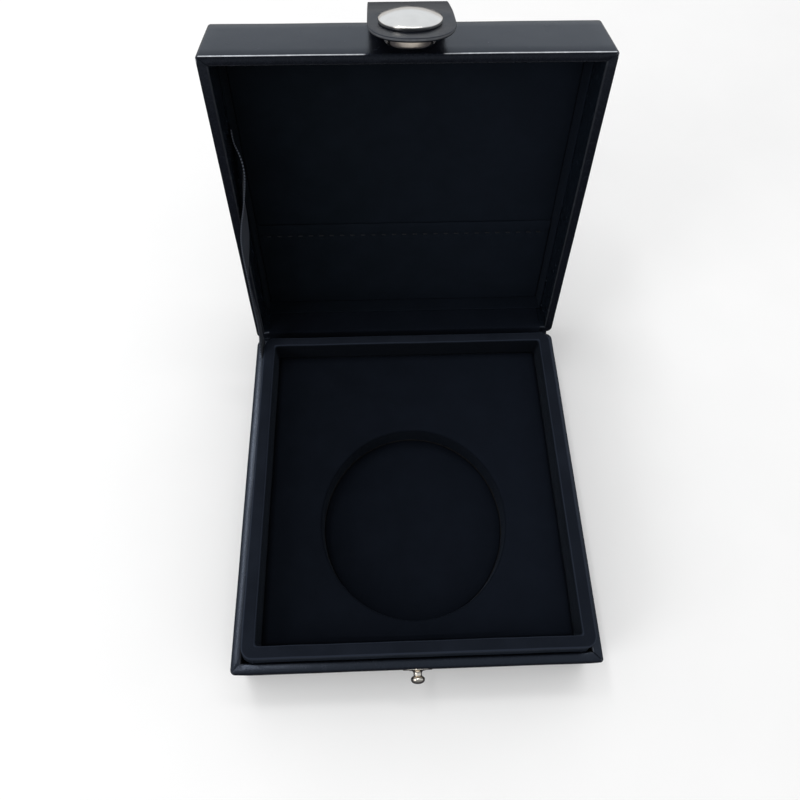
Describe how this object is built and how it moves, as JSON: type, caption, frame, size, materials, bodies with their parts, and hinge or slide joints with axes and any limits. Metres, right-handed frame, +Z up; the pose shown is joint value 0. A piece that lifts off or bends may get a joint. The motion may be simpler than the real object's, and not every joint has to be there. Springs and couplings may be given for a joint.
{
  "type": "pocket watch display box",
  "caption": "Hinged square box in black leatherette with a velvet pad, a round well, a raised collar, a ribbon stay and a fastening tab with a press stud.",
  "frame": {"origin": "centre of the base's underside, on the felt that it stands on", "axes": "+X to the right as seen from the front, +Y to the hinge side, +Z up; the lid stands open at rest"},
  "size_m": [0.092, 0.136, 0.1211],
  "materials": {
    "leatherette": "black, fine grain, satin",
    "velvet": "black short-pile velvet",
    "board": "plain grey board",
    "foam": "dark foam",
    "felt": "thin black felt",
    "thread": "black sewing thread",
    "ribbon": "black ribbed ribbon",
    "chromed_metal": "bright chrome"
  },
  "bodies": {
    "base": {"base_wrap": "leatherette", "spine_leatherette": "leatherette", "collar_velvet": "velvet", "pad_velvet": "velvet", "well_floor_velvet": "velvet", "spine_lining": "velvet", "base_bottom_board": "board", "base_front_board": "board", "base_back_board": "board", "base_left_board": "board", "base_right_board": "board", "collar_front_card": "board", "collar_back_card": "board", "collar_left_card": "board", "collar_right_card": "board", "well_floor_card": "board", "pad_base_foam": "foam", "pad_foam": "foam", "snap_stud": "chromed_metal", "stud_rivet": "chromed_metal", "base_underlay": "felt", "ribbon_stay": "ribbon"},
    "lid": {"lid_wrap": "leatherette", "tab_root": "leatherette", "tab_bend": "leatherette", "lid_panel_velvet": "velvet", "lid_wall_lining": "velvet", "lid_lower_lining": "velvet", "lid_top_board": "board", "lid_front_board": "board", "lid_hinge_board": "board", "lid_left_board": "board", "lid_right_board": "board", "lid_panel_card": "board", "hem_stitches": "thread"},
    "tab": {"tab_flap": "leatherette", "snap_cap": "chromed_metal", "snap_socket": "chromed_metal", "snap_spring": "chromed_metal"}
  },
  "joints": [
    {"name": "lid_hinge", "type": "hinge", "parent": "base", "child": "lid", "pos_m": [0, 0.0455, 0.0193], "axis": [1, 0, 0], "range_deg": [0, 105], "deforming": ["spine_leatherette", "spine_lining", "ribbon_stay"]},
    {"name": "tab_fold", "type": "hinge", "parent": "lid", "child": "tab", "pos_m": [0, 0.08413, 0.09488], "axis": [1, 0, 0], "range_deg": [-60, 7.5], "stiffness_Nm_per_rad": 0.05, "deforming": ["tab_bend"]}
  ]
}
